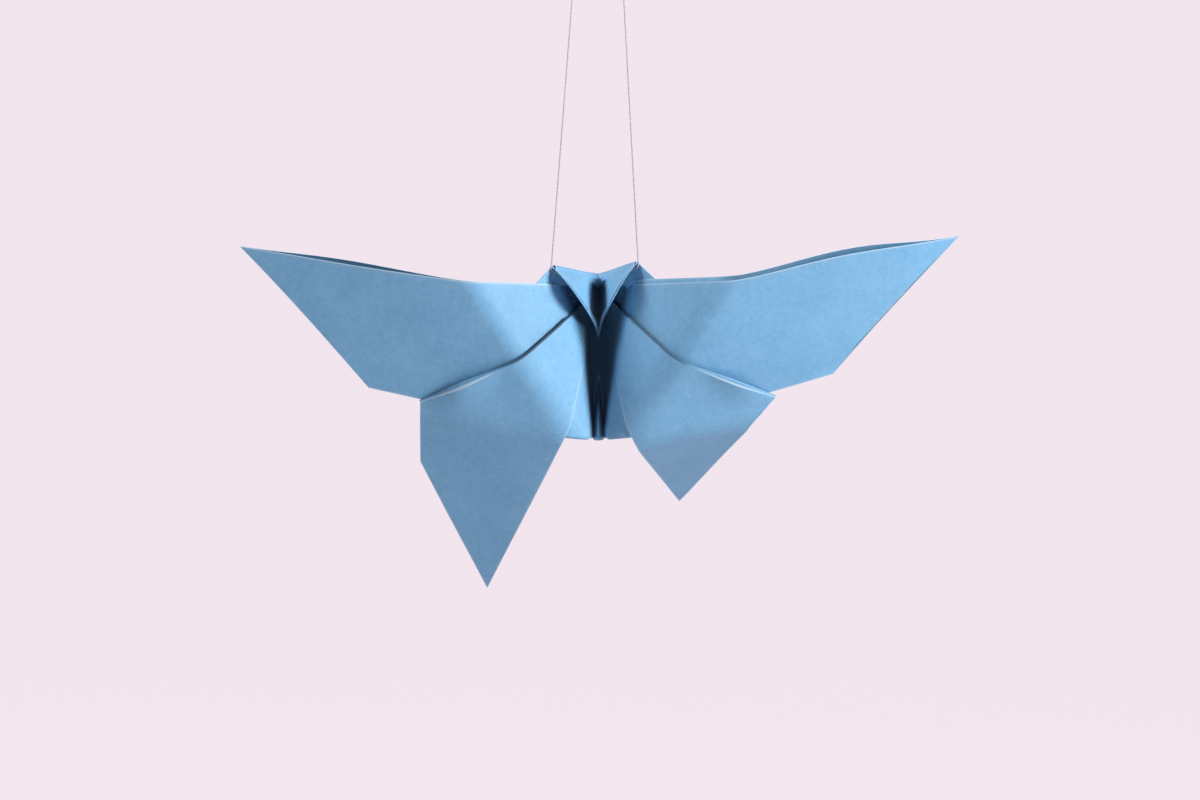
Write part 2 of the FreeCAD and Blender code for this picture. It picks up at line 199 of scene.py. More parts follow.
def tube_round(route, radius, sides):
    """Rings of points round a closed route: centre + radius (cos a * normal + sin a * binormal)."""
    ahead = np.roll(route, -1, axis=0) - np.roll(route, 1, axis=0)
    ahead /= np.linalg.norm(ahead, axis=1, keepdims=True)
    normal = np.cross(ahead, slanted)
    normal /= np.linalg.norm(normal, axis=1, keepdims=True)
    binormal = np.cross(ahead, normal)
    angle = np.linspace(0.0, 2.0 * math.pi, sides, endpoint=False)[None, :, None]
    return route[:, None] + radius * (np.cos(angle) * normal[:, None] + np.sin(angle) * binormal[:, None])


def smooth_mesh(name, points, faces):
    """A smooth mesh of points (..., 3) and four-cornered faces (..., 4)."""
    mesh = bpy.data.meshes.new(name)
    mesh.from_pydata(points.reshape(-1, 3).tolist(), [], faces.reshape(-1, 4).tolist())
    mesh.shade_smooth()
    return mesh


knot_rings = tube_round(overhand_route(knot_points, knot_size), 0.5 * thread_size, knot_sides) * MM
ring, side = np.meshgrid(np.arange(knot_points), np.arange(knot_sides), indexing="ij")
next_ring, next_side = (ring + 1) % knot_points, (side + 1) % knot_sides
knot_faces = np.stack([ring * knot_sides + side, next_ring * knot_sides + side,
                       next_ring * knot_sides + next_side, ring * knot_sides + next_side], axis=-1)
knot = add_object("thread_knot_loops", smooth_mesh("thread_knot_loops", knot_rings, knot_faces))
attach(knot, "root")
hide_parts("thread_knot")
tuple(thread_points[0] * MM)
print("knot faces", len(knot.data.polygons))

# %% [markdown]
# ## Where a place on the flat sheet ends up
# A folded sheet is easiest to describe while it lies flat. Each place has three numbers: how far
# across it is from the middle line, how far up from the wings' top edge, and its depth in the pile of
# layers. One soft bend rolls the wing back, a second one curls the lower wing, and the whole half
# turns about the middle line. Because every layer goes through the same function, layers that touch
# while flat still touch in space.

# %% Bends
fold_drop = 0.048
fold_level = 10.0
fold_drop_width = 22.0
ripple_size = 0.16
ripple_phase = 1.3
ripple_slow = (0.12, 0.11)
ripple_slant = (0.21, 0.16)
ripple_shift = 0.5
ripple_slant_share = 0.5
ripple_start = 14.0


def roll_back(across, up, depth, start, slope, radius, angle):
    """Roll what lies beyond a line back round a cylinder.

    reach is the distance past the line where the roll begins. The angle rolled is reach / radius, up
    to the whole angle, and what is left of the reach goes straight on.
    """
    out = (math.sin(slope), -math.cos(slope))
    reach = (across - start[0]) * out[0] + (up - start[1]) * out[1] + 0.5 * radius * angle
    reach = np.maximum(reach, 0.0)
    rolled = np.minimum(reach / radius, angle)
    beyond = np.maximum(reach - radius * angle, 0.0)
    shift = (radius + depth) * np.sin(rolled) + beyond * np.cos(rolled) - reach
    new_depth = (radius + depth) * np.cos(rolled) - radius - beyond * np.sin(rolled)
    return across + shift * out[0], up + shift * out[1], np.where(reach > 0.0, new_depth, depth)


def hang_lower(across, up):
    """The body's bottom fold hangs lower in the middle and rises outwards, by a share of up."""
    share = fold_drop * (1.0 - np.maximum(across - fold_level, 0.0) / fold_drop_width)
    return up + share * np.maximum(up, -body_height)


def ripple(half, across, up):
    """The slight waves of handled paper: size times (sin a sin b + share sin c), none at the middle.

    a and b are slow waves across and up, c is a wave at a slant, and a squared ramp brings them in.
    """
    phase = ripple_phase * half["side"]
    waves = np.sin(ripple_slow[0] * across + phase) * np.sin(ripple_slow[1] * up + ripple_shift)
    slant = np.sin(ripple_slant[0] * across - ripple_slant[1] * up + phase)
    ramp = np.clip(across / ripple_start, 0.0, 1.0) ** 2
    return ripple_size * (waves + ripple_slant_share * slant) * ramp


def smooth(share):
    """A smooth step from 0 to 1: 3 s^2 - 2 s^3 for s between 0 and 1."""
    share = np.clip(share, 0.0, 1.0)
    return share * share * (3.0 - 2.0 * share)


print("the soft bend starts", bend_start, "mm out at the top and", bend_foot, "mm out at the foot")

# %% [markdown]
# ## The pinched middle
# Where the two halves meet, the layers are pinched back into a deep narrow cleft with a thin fin at
# its foot, and the head has a narrow valley. Both are added to the layers after they are in space.

# %% Cleft and valley
levels = (-28.3, -23.0, -12.0, -5.7, 0.0, 1.4)
cleft_widths = {-1: (1.9, 2.5, 4.0, 6.2, 8.8, 9.0), 1: (1.8, 2.6, 5.0, 6.4, 7.6, 8.0)}
cleft_depths = (3.4, 5.0, 6.2, 5.4, 3.0, 0.3)
cleft_floors = (0.45, 0.42, 0.35, 0.5, 0.7, 0.7)
fin_top = -17.0
fin_run = 11.0
fin_share = 0.92
fin_widths = (0.15, 0.5)
head_pinch_depth = 4.4
head_pinch_width = 1.6
head_pinch_top = 1.3
head_pinch_run = 1.6


def cleft(half, x, up):
    """How far back the middle is folded: a floor between two walls, and a thin fin at its foot.

    depth = D (1 - step((x / W - f) / (1 - f)) - fin), with D, W and f read off short tables by level.
    The fin is h exp(-(x / w)^2), and both h and w grow towards the foot.
    """
    width = np.interp(up, levels, cleft_widths[half["side"]])
    floor = np.interp(up, levels, cleft_floors)
    deep = np.interp(up, levels, cleft_depths)
    wall = smooth((np.abs(x) / width - floor) / (1.0 - floor))
    low = smooth((fin_top - up) / fin_run)
    fin = fin_share * low * np.exp(-(x / (fin_widths[0] + fin_widths[1] * low)) ** 2)
    return deep * (1.0 - wall - fin)


def cleft_either_side(x, up):
    """The cleft's depth at a signed x."""
    return np.where(x < 0.0, cleft(LEFT, x, up), cleft(RIGHT, x, up))


def head_pinch(x, up):
    """The narrow valley down the head: D exp(-(x / W)^4), and nothing at its fold."""
    start = smooth((head_pinch_top - up) / head_pinch_run)
    return head_pinch_depth * start * np.exp(-(x / head_pinch_width) ** 4)


print("deepest place of the cleft:", max(cleft_depths), "mm")

# %% [markdown]
# ## From flat to space
# This one function places every point of the sheet. The layers meet at the middle line in a mitre,
# as the corners of a picture frame do, so that each keeps its own depth when its half is turned.

# %% Place
mitre_width = 3.0


def place(half, spots, depth, curled=False, flare=0.0, on_head=False):
    """Frame coordinates, in metres, of flat spots (..., 2) at a depth towards the front.

    The mitre, the low foot and the ripple come first, then the curl and the soft bend. The turn by a
    is x = across cos a - depth sin a, y = -across sin a - depth cos a, and the pinch is added to y.
    """
    sway = depth * math.sin(body_turn) / (math.cos(body_turn) - flare * math.sin(body_turn))
    across = spots[..., 0] + sway * np.clip(1.0 - spots[..., 0] / mitre_width, 0.0, 1.0)
    up = hang_lower(spots[..., 0], spots[..., 1])
    depth = depth + flare * across + ripple(half, across, up)
    if curled:
        curl_start = (0.0, -body_height - 0.5 * curl_radius * half["curl"])
        across, up, depth = roll_back(across, up, depth, curl_start, 0.0, curl_radius, half["curl"])
    across, up, depth = roll_back(across, up, depth, (bend_start, 0.0), bend_slope, bend_radius,
                                  half["bend"])
    x = across * math.cos(body_turn) - depth * math.sin(body_turn)
    y = -across * math.sin(body_turn) - depth * math.cos(body_turn)
    y = y + (head_pinch(x, up) if on_head else cleft(half, x, up))
    return (top_edge + np.stack([half["side"] * x, y, up], axis=-1)) * MM


print("left wing tip, mm:", (place(LEFT, LEFT["wing_tip"], 0.0) / MM).round(1))

# %% [markdown]
# ## Panels whose grid follows the crease
# A grid that crosses a crease at a slant shows it as a row of steps. Here each row of a panel is cut
# into three blocks, before, in and beyond the soft bend, so the grid's columns run along the crease.

# %% Rows and the bend
probe = 0.01
first_rows = [0.0, 0.004, 0.014]
last_rows = [0.986, 0.996, 1.0]


def eased(count):
    """Shares from 0 to 1, with closer ones near both ends, where borders need crisp shading."""
    return np.concatenate([first_rows, np.linspace(0.0, 1.0, count)[1:-1], last_rows])


def bend_shares(half, start, end):
    """The shares of the way from start to end where the soft bend begins and ends."""
    out = np.array([math.sin(bend_slope), -math.cos(bend_slope)])
    first = (start - (bend_start, 0.0)) @ out
    last = (end - (bend_start, 0.0)) @ out
    half_width = 0.5 * bend_radius * half["bend"]
    run = np.maximum(last - first, probe)
    return (-half_width - first) / run, (half_width - first) / run


print("rows for a count of 5, as shares of the way:", eased(5))

# %% Flat panels
block_counts = (8, 12, 16)
middle_places = np.concatenate([np.arange(0.12, 1.0, 0.16), np.arange(1.0, 4.0, 0.3),
                                np.arange(4.0, 11.6, 0.45)])
enter_limits = (0.03, 0.93)
leave_limit = 0.96
least_block = 0.02
close_at_start = [0.0, 0.02, 0.06]
close_at_end = [0.985, 0.995, 1.0]
top = np.array([0.0, 0.0])
foot = np.array([0.0, -body_height])


def panel(half, first_start, first_end, last_end, last_start, row_shares, from_middle=True):
    """Flat spots of a four-sided panel, as rows that go from its start edge to its end edge.

    Row v runs from first_start + v (last_start - first_start) to first_end + v (last_end - first_end).
    A panel that starts at the middle line has extra columns there, for the pinched valley.
    """
    v = np.asarray(row_shares)[:, None]
    start = (1.0 - v) * first_start + v * last_start
    end = (1.0 - v) * first_end + v * last_end
    enter, leave = bend_shares(half, start, end)
    enter = np.clip(enter, *enter_limits)[:, None]
    leave = np.clip(leave[:, None], enter + least_block, leave_limit)
    before, within, beyond = (np.linspace(0.0, 1.0, count) for count in block_counts)
    before = np.concatenate([close_at_start, before[1:]])
    beyond = np.concatenate([beyond[1:-1], close_at_end])
    blocks = [before * enter, enter + within[1:] * (leave - enter), leave + beyond * (1.0 - leave)]
    if from_middle:
        reach = np.linalg.norm(end - start, axis=1)[:, None]
        blocks.append(middle_places / np.maximum(reach, 2.0 * middle_places[-1]))
    shares = np.sort(np.concatenate(blocks, axis=1), axis=1)
    return start[:, None] + shares[..., None] * (end - start)[:, None]


example = panel(LEFT, top, LEFT["wing_tip"], LEFT["wing_corner"], foot, eased(24))
print("rows and columns of an upper wing's panel:", example.shape[:2])

# %% [markdown]
# ## Folds
# A crease is never sharp: the paper goes round it in a tiny half turn, wide enough for the layers
# inside. A bevel on the mesh would round both sides alike, so each fold is its own rows of points.

# %% Fold arcs
fold_steps = 10
largest_fold = 1.1


def lift_from(half, spots, outward, depth, curled=False):
    """The direction in space in which a flat direction points, at flat spots."""
    away = spots + probe * np.asarray(outward)
    lift = place(half, away, depth, curled) - place(half, spots, depth, curled)
    return lift / np.linalg.norm(lift, axis=-1, keepdims=True)


def fold_rows(front, back, lift, rise=1.0):
    """Rows of half ellipses: middle + arm cos a + lift |arm| rise sin a, without their two ends.

    The lift's |arm| is held to largest_fold times its median, so no fold bulges where layers part.
    """
    angle = np.linspace(0.0, math.pi, fold_steps + 1)[1:-1, None, None]
    middle = 0.5 * (front + back)
    arm = front - middle
    size = np.linalg.norm(arm, axis=-1, keepdims=True)
    size = np.minimum(size, largest_fold * np.median(size))
    return middle + arm * np.cos(angle) + lift * (size * rise) * np.sin(angle)


def left_of(start, end):
    """The flat unit direction at right angles to the way from start to end, on its left."""
    along = np.subtract(end, start)
    return np.array([-along[1], along[0]]) / np.linalg.norm(along)


print("rows of points round a fold:", fold_steps - 1)

# %% [markdown]
# ## Borders
# A cut edge is square and shows one thickness of paper, or two with a fine dark line between. Such
# borders tell the eye that the model is thin paper and not a flat cut-out. A Solidify modifier gives
# every border the same section, so here each side of a layer gets its own.

# %% Sections of the borders
CUT = {"pale": 1.0, "section": [(0.1, 0.01), (0.3, 0.02), (0.5, 0.02), (0.7, 0.02), (0.9, 0.01)]}
TWO_CUTS = {"pale": 1.0, "section": [(0.12, 0.02), (0.4, 0.01), (0.5, -0.09), (0.6, 0.01), (0.88, 0.02)]}
HIDDEN = {"pale": 0.0, "section": [(0.1, 0.0), (0.3, 0.0), (0.5, 0.0), (0.7, 0.0), (0.9, 0.0)]}
pale_width = 0.16
no_length = 1e-12


def grid_faces(columns, rows, first=0):
    """Quads of a grid whose points are numbered row after row."""
    corner = (first + np.arange(rows - 1)[:, None] * columns + np.arange(columns - 1)).ravel()
    return np.stack([corner, corner + 1, corner + columns + 1, corner + columns], axis=1)


def border_loop(rows, columns):
    """Numbers of a grid's border points once round, and of the side each one is on."""
    index = np.arange(rows * columns).reshape(rows, columns)
    sides = [index[0, :-1], index[:-1, -1], index[-1, :0:-1], index[:0:-1, 0]]
    return np.concatenate(sides), np.concatenate([np.full(len(s), k) for k, s in enumerate(sides)])


def pale_rim(skin, paleness):
    """How pale each point of a skin is: a side's paleness, fading as exp(-distance / pale_width)."""
    along_rows = np.linalg.norm(np.diff(skin, axis=0), axis=-1) / MM
    along_columns = np.linalg.norm(np.diff(skin, axis=1), axis=-1) / MM
    from_first_row = np.vstack([np.zeros_like(along_rows[:1]), np.cumsum(along_rows, axis=0)])
    from_first_column = np.hstack([np.zeros_like(along_columns[:, :1]), np.cumsum(along_columns, axis=1)])
    distances = [from_first_row, from_first_column[:, -1:] - from_first_column,
                 from_first_row[-1:] - from_first_row, from_first_column]
    fades = [pale * np.exp(-distance / pale_width) for pale, distance in zip(paleness, distances)]
    return np.max(fades, axis=0)


print("border points of a grid of 3 rows and 4 columns:", len(border_loop(3, 4)[0]))


# %% Closed shells
def closed_shell(outer, inner, sides):
    """Two skins and a band round their border, as (points, faces, paleness).

    sides gives the border of the first row, last column, last row and first column. Each point of a
    section is outer + share (inner - outer) + out * (direction away from the sheet).
    """
    rows, columns = outer.shape[:2]
    count = rows * columns
    loop, side = border_loop(rows, columns)
    flat_outer, flat_inner = outer.reshape(-1, 3), inner.reshape(-1, 3)
    row, column = loop // columns, loop % columns
    inward = np.clip(row, 1, rows - 2) * columns + np.clip(column, 1, columns - 2)
    away = flat_outer[loop] - flat_outer[inward]
    away /= np.linalg.norm(away, axis=1, keepdims=True) + no_length
    sections = np.array([border["section"] for border in sides])[side]
    bands = [flat_outer[loop] + share[:, None] * (flat_inner[loop] - flat_outer[loop])
             + out[:, None] * MM * away for share, out in sections.transpose(1, 2, 0)]
    points = np.concatenate([flat_outer, flat_inner] + bands)
    loops = [loop] + [2 * count + k * len(loop) + np.arange(len(loop)) for k in range(len(bands))]
    loops.append(loop + count)
    faces = [grid_faces(columns, rows), grid_faces(columns, rows, count)[:, ::-1]]
    for here, beyond in zip(loops, loops[1:]):
        faces.append(np.stack([here, beyond, np.roll(beyond, -1), np.roll(here, -1)], axis=1))
    paleness = [border["pale"] for border in sides]
    pale_band = np.tile(np.array(paleness)[side], len(bands))
    pale = np.concatenate([pale_rim(outer, paleness).ravel(), pale_rim(inner, paleness).ravel(), pale_band])
    return points, np.concatenate(faces), pale


example_skins = [place(LEFT, example, depth) for depth in (paper, 0.0)]
print("faces of an upper wing's shell:", len(closed_shell(*example_skins, [CUT] * 4)[1]))

# %% [markdown]
# ## The layers of the butterfly
# The square was folded to a waterbomb base, so four triangles of paper lie on each other in each
# half. The two back ones open into the upper wings. The two front ones turn down, make the rim, and
# become the lower wings. The pointed end of the base is folded up behind the body and over the top
# edge, where it makes the small pointed head.

# %% Depths of the layers
double = 2.0 * paper
wing_gap = 0.2
upper_front = (0.5 * layer_gap, 0.5 * layer_gap + paper)
base = (upper_front[1] + layer_gap, upper_front[1] + layer_gap + double)
lower_wing = (base[1] + wing_gap, base[1] + wing_gap + double)
head_inner = (lower_wing[1] + layer_gap, lower_wing[1] + layer_gap + double)
head_outer = (head_inner[1] + layer_gap, head_inner[1] + layer_gap + double)
upper_back = (-upper_front[1], -upper_front[0])
lifted_inner = (-base[1], -base[0])
lifted_outer = (-lower_wing[1], -lower_wing[0])
print("layer fronts, mm:", [round(layer[1], 3) for layer in (upper_front, base, lower_wing, head_outer)])

# %% Places and rows shared by the layers
crest = np.array([0.0, 1.4])
inner_foot = np.array([0.0, -body_height + lower_wing[1]])
rim_start = np.array([1.2, -0.95])
foot_inset = 6.0
body_shares = eased(22)
wing_shares = eased(24)
head_shares = eased(14)
lower_shares = eased(36) ** 1.5
tuck_shares = eased(12)


def hump(share):
    """A smooth rise from 0 to 1 and back to 0 over shares from 0 to 1: sin^2 (pi s)."""
    return np.sin(math.pi * np.clip(share, 0.0, 1.0)) ** 2


def beyond_bend(half, along, end):
    """How far out along an edge from the middle to its end: 0 where the bend ends and 1 at the end."""
    _, leave = bend_shares(half, top, end)
    return (along - leave * end[0]) / ((1.0 - leave) * end[0])


print("rows of the body's front:", len(body_shares), "and of an upper wing:", len(wing_shares))

# %% [markdown]
# ## The head
# The pointed end of the sheet rolls over the top edge and springs open, because paper doesn't stay
# pressed. The flap is held at its fold and opens further the lower it hangs.

# %% Head
head_depth = 8.9
head_tip_width = 0.12
head_opening_length = 4.0
head_fullness = 0.28
head_flare = 0.6
pressed_share = 0.4


def head_opening(half, spots):
    """How open the head's flap is: 0 at its fold, and 1 - exp(-s / length) at s below the fold."""
    peak = half["peak"]
    fold_up = crest[1] + (peak[1] - crest[1]) * spots[..., 0] / peak[0]
    below = np.maximum(fold_up - spots[..., 1], 0.0)
    return 1.0 - np.exp(-below / head_opening_length)


def head_panel(half, side_end, tip_up):
    """Flat spots of the head's flap: rows from its fold to its tip, a little fuller half way down."""
    head_tip = np.array([0.0, tip_up])
    spots = panel(half, crest, side_end, head_tip + (head_tip_width, 0.0), head_tip, head_shares)
    spots[..., 0] *= 1.0 + head_fullness * np.sin(math.pi * head_shares)[:, None]
    return spots


def head_skin(half, spots, depth):
    """One skin of the head's flap, which springs open away from its fold."""
    opening = head_opening(half, spots)
    opened = depth * (pressed_share + (1.0 - pressed_share) * opening)
    return place(half, spots, opened, flare=head_flare * opening, on_head=True)


def wrapped_skins(half, front, lifted, head, depths, bow, roll_rise):
    """A layer's two skins: its front, the bottom fold, the lifted part, the roll and the head."""
    skins = []
    for front_depth, lifted_depth, flap_depth in depths:
        front_skin = place(half, front, front_depth + bow)
        lifted_skin = place(half, lifted, lifted_depth)
        down = lift_from(half, front[-1], (0.0, -1.0), front_depth)
        wrap = fold_rows(front_skin[-1], lifted_skin[0], down)
        flap = head_skin(half, head, flap_depth)
        roll = fold_rows(flap[0], lifted_skin[-1], np.array([0.0, 0.0, 1.0]), roll_rise)[::-1]
        skins.append(np.concatenate([front_skin, wrap, lifted_skin, roll, flap]))
    return skins


print("head's flap:", head_panel(LEFT, LEFT["peak"], -head_depth).shape[:2], "rows and columns")

# %% [markdown]
# ## The body's layer
# The outer layer of the body goes down its front, round the bottom fold, up its back, and over the
# top edge into the head. At the rim it stands off the upper wing a little, where the paper of the
# lower wing pushes it away.

# %% Outer layer
corner_peek = 0.5
corner_drop = 0.3
rim_fade = 0.38
rim_fade_power = 1.5
rim_gap = 0.6
rim_gap_start = 3.0
rim_gap_end = 0.5


def rim_stand_off(half, spots, row_shares):
    """How far the rim stands off the upper wing: a hump beyond the bend, fading away from the rim."""
    along = beyond_bend(half, spots[..., 0], half["rim_end"])
    fade = np.clip(1.0 - np.asarray(row_shares) / rim_fade, 0.0, 1.0) ** rim_fade_power
    from_middle = smooth((spots[..., 0] - rim_start[0]) / rim_gap_start)
    near_body = rim_gap * from_middle * smooth((1.0 - along) / rim_gap_end)
    return (near_body + half["rim_bow"] * hump(along)) * fade[:, None]


def outer_layers(half):
    """Body front, bottom fold, lifted layer, roll over the top edge and head, as two skins."""
    foot_end = half["rim_end"] - (foot_inset, 0.0)
    head_end = half["peak"] - (corner_peek, corner_drop)
    body = panel(half, np.array([0.0, rim_start[1]]), half["rim_end"], foot_end, foot, body_shares)
    lifted = panel(half, foot, foot_end, head_end, crest, body_shares)
    head = head_panel(half, head_end, -head_depth)
    depths = ((base[1], lifted_outer[0], head_outer[1]), (base[0], lifted_outer[1], head_outer[0]))
    return wrapped_skins(half, body, lifted, head, depths, rim_stand_off(half, body, body_shares), 1.0)


def across_both(make):
    """A layer's two skins from wing tip to wing tip: the left half turned round, then the right."""
    return [np.concatenate([left[:, ::-1], right[:, 1:]], axis=1)
            for left, right in zip(make(LEFT), make(RIGHT))]


body_skins = across_both(outer_layers)
body_shell = closed_shell(*body_skins, [HIDDEN, CUT, TWO_CUTS, CUT])
print("body's layer:", len(body_shell[1]), "faces")

# %% [markdown]
# ## The upper wings
# An upper wing is two layers of paper, closed at its outer side and open along its top, where the
# back one shows as a dark sliver. The back layer goes on round the bottom fold and into the head.

# %% Inner layer and upper wings
tip_peek = 0.9
back_rise_start = 12.0
back_rise_end = 20.0
inner_roll_rise = 0.9


def inner_layers(half):
    """Back of the upper wing, bottom fold, lifted layer, roll and head, as two skins."""
    wing_tip, wing_corner = half["wing_tip"], half["wing_corner"]
    back = panel(half, top, wing_tip, wing_corner, inner_foot, wing_shares)
    lifted = panel(half, inner_foot, wing_corner, half["peak"], crest, wing_shares)
    head = head_panel(half, half["peak"], -head_depth - tip_peek)
    near_top = 1.0 - wing_shares[:, None]
    along = beyond_bend(half, back[..., 0], wing_tip)
    bow = -half["edge_bow"] * hump(along) * near_top
    back[..., 1] += half["edge_rise"] * hump(along) * near_top
    from_middle = smooth(back[..., 0] / back_rise_start)
    rise = from_middle * smooth((wing_tip[0] - back[..., 0]) / back_rise_end)
    back[..., 1] += half["back_rise"] * rise * near_top
    depths = ((upper_back[1], lifted_inner[0], head_inner[1]),
              (upper_back[0], lifted_inner[1], head_inner[0]))
    return wrapped_skins(half, back, lifted, head, depths, bow, inner_roll_rise)


def upper_wing_front(half):
    """The front layer of an upper wing, as two skins."""
    spots = panel(half, top, half["wing_tip"], half["wing_corner"], inner_foot, wing_shares)
    raised = half["edge_rise"] * hump(beyond_bend(half, spots[..., 0], half["wing_tip"]))
    spots[..., 1] += raised * (1.0 - wing_shares[:, None])
    return [place(half, spots, upper_front[1]), place(half, spots, upper_front[0])]


def wing_end_fold(half):
    """The fold that joins the two layers of an upper wing at its outer side."""
    shares = wing_shares[:, None]
    spots = (1.0 - shares) * half["wing_tip"] + shares * half["wing_corner"]
    lift = lift_from(half, spots, left_of(half["wing_corner"], half["wing_tip"]) * -1.0, 0.0)
    skins = []
    for front_depth, back_depth in ((upper_front[1], upper_back[0]), (upper_front[0], upper_back[1])):
        front, back = place(half, spots, front_depth), place(half, spots, back_depth)
        skins.append(np.concatenate([front[None], fold_rows(front, back, lift), back[None]]))
    return closed_shell(*skins, [HIDDEN] * 4)


inner_skins = across_both(inner_layers)
inner_shell = closed_shell(*inner_skins, [CUT, HIDDEN, TWO_CUTS, HIDDEN])
wing_front_skins = across_both(upper_wing_front)
wing_front_shell = closed_shell(*wing_front_skins, [CUT, HIDDEN, CUT, HIDDEN])
print("upper wings:", len(inner_shell[1]) + len(wing_front_shell[1]), "faces")

# %% [markdown]
# ## Painted shade and highlight
# Very little light reaches the inside of a narrow fold, so it looks nearly black on the real paper.
# The lamps here would leave such places mid blue, so part of their shade is painted. A number on
# each point is above 0 at a pale cut edge and at a painted highlight, 0 on plain paper and below 0
# in painted shade. The paint belongs to the surface and stays the same from every side and under any
# light. Four places have painted shade: the folds of the rims, the cleft, the valley down the head,
# and the pockets between an upper wing's layers. Beyond the bend, each rim's fold also has a painted
# highlight along its edge.

# %% Painted shade
slit_end = 23.0
slit_fade = 9.0
# Beyond the bend, the rims' folds get a painted highlight along their edge, over painted shade.
rim_highlight_rows = 2
painted_rim_highlight = 0.9
pocket_shade = 0.35
valley_shade = 0.95
edge_hidden_from = 2.0
shaded_from = 3.8
pocket_depth = 2.3
pocket_start = 21.0
pocket_run = 6.0
pocket_rows = 9


def in_slit(shell, skin):
    """The fold of a rim: painted shade near the body; beyond the bend, a painted highlight over painted
    shade.

    Near the body is a step of |x|. The painted highlight is the first few rows of the fold's outer skin.
    """
    points, faces, pale = shell
    near_body = smooth((slit_end * MM - np.abs(points[:, 0])) / (slit_fade * MM))
    row = np.full(len(points), len(skin))
    row[:skin[..., 0].size] = np.repeat(np.arange(len(skin)), skin.shape[1])
    # Painted highlight on the fold's first rows, painted shade on the rest and near the body.
    beyond = np.where(row < rim_highlight_rows, painted_rim_highlight, -pocket_shade)
    return points, faces, (1.0 - near_body) * beyond - near_body


def in_valley(shell, skin, rows, how_deep, kept_edge):
    """A shell with some rows of its outer skin in painted shade, by a step of how deep in a valley they
    lie.

    kept_edge is the share of a pale edge's paleness that stays deep down: 0 for none, 1 for all.
    """
    points, faces, pale = shell
    index = np.arange(skin[..., 0].size).reshape(skin.shape[:2])[rows].ravel()
    deep = how_deep(points[index, 0] / MM, points[index, 2] / MM + hang_height)
    edge = pale[index] * (1.0 - (1.0 - kept_edge) * smooth(deep / edge_hidden_from))
    pale[index] = edge - (1.0 - edge) * valley_shade * smooth(deep / shaded_from)
    return points, faces, pale


def wing_pocket(x, up):
    """The depth that the pocket between an upper wing's layers counts as for its painted shade: a step of
    |x|.

    It is the same at every level, and takes up only because the other depths do.
    """
    return pocket_depth * smooth((np.abs(x) - pocket_start) / pocket_run)


body_shell = in_valley(body_shell, body_skins[0], slice(len(body_shares)), cleft_either_side, 0.0)
body_shell = in_valley(body_shell, body_skins[0], slice(-len(head_shares), None), head_pinch, 1.0)
inner_shell = in_valley(inner_shell, inner_skins[0], slice(pocket_rows), wing_pocket, 0.0)
wing_front_shell = in_valley(wing_front_shell, wing_front_skins[0], slice(None), cleft_either_side, 0.0)
print("points in painted shade:", sum(int((shell[2] < 0.0).sum())
                                      for shell in (body_shell, inner_shell, wing_front_shell)))

# %% [markdown]
# ## The lower wings
# A lower wing is two layers thick. It is folded over at the rim and down its outer side, and a
# narrow flap is tucked behind it. All of it curls back below the body. The rim's fold is a lip that
# stands highest half way between the bend and the rim's end.

# %% Lower wings
rim_rise = 1.15
side_rise = 1.3
tuck_drop = 0.6
tuck_inset = 0.4


def rim_fold_skins(half, wing, bow, wing_skins):
    """The fold along a rim, from the wing's first row to the layer behind it, as two skins.

    Its height is that of a plain fold times 1 + rim_lip hump(share of the way beyond the bend).
    """
    rim_end = half["rim_end"]
    behind = [place(half, wing[0], depth + bow[0], curled=True) for depth in base]
    upwards = lift_from(half, wing[0], left_of(rim_start, rim_end), lower_wing[0] + bow[0], curled=True)
    lip = 1.0 + half["rim_lip"] * hump(beyond_bend(half, wing[0, :, :1], rim_end))
    return [np.concatenate([skin[:1], fold_rows(skin[0], row, upwards, rise), row[None]])
            for skin, row, rise in zip(wing_skins, behind, (rim_rise * lip, lip))]


def side_fold_skins(half, wing, wing_skins):
    """The fold down a lower wing's outer side, as two skins."""
    outside = wing[:, -1]
    away = lift_from(half, outside, left_of(half["corner"], half["rim_end"]), lower_wing[0], curled=True)
    behind = [place(half, outside, depth, curled=True) for depth in base]
    return [np.concatenate([skin[None, :, -1], fold_rows(skin[:, -1], back, away, rise), back[None]])
            for skin, back, rise in zip(wing_skins, behind, (side_rise, 1.0))]


def tucked_flap_skins(half):
    """The narrow flap tucked behind a lower wing, as two skins."""
    flap = panel(half, half["rim_end"] - (foot_inset, tuck_drop), half["rim_end"] - (0.0, tuck_inset),
                 half["corner"], half["corner"] - (tuck_inset, 0.0), tuck_shares, False)
    return [place(half, flap, depth, curled=True) for depth in base[::-1]]


def lower_wing_shells(half):
    """A lower wing, the fold of its rim, the fold down its outer side, and the flap tucked behind."""
    wing = panel(half, rim_start, half["rim_end"], half["corner"], half["tip"], lower_shares)
    bow = rim_stand_off(half, wing, lower_shares)
    wing_skins = [place(half, wing, depth + bow, curled=True) for depth in lower_wing[::-1]]
    rim_skins = rim_fold_skins(half, wing, bow, wing_skins)
    wing_shell = closed_shell(*wing_skins, [HIDDEN, HIDDEN, TWO_CUTS, TWO_CUTS])
    return [in_valley(wing_shell, wing_skins[0], slice(None), cleft_either_side, 0.0),
            in_slit(closed_shell(*rim_skins, [HIDDEN] * 4), rim_skins[0]),
            closed_shell(*side_fold_skins(half, wing, wing_skins), [HIDDEN] * 4),
            closed_shell(*tucked_flap_skins(half), [CUT, HIDDEN, CUT, CUT])]


shells = [body_shell, inner_shell, wing_front_shell]
for half in HALVES:
    shells += lower_wing_shells(half)
    shells.append(wing_end_fold(half))
print("closed shells in the sheet:", len(shells))

# %% [markdown]
# ## One sheet of paper
# The shells meet at the folds. They become one mesh, because the real thing is one square of paper
# and takes one finish. Edges sharper than 50 degrees stay crisp, and the rest is shaded smooth.

# %% Join the sheet
sharp_from = math.radians(50.0)


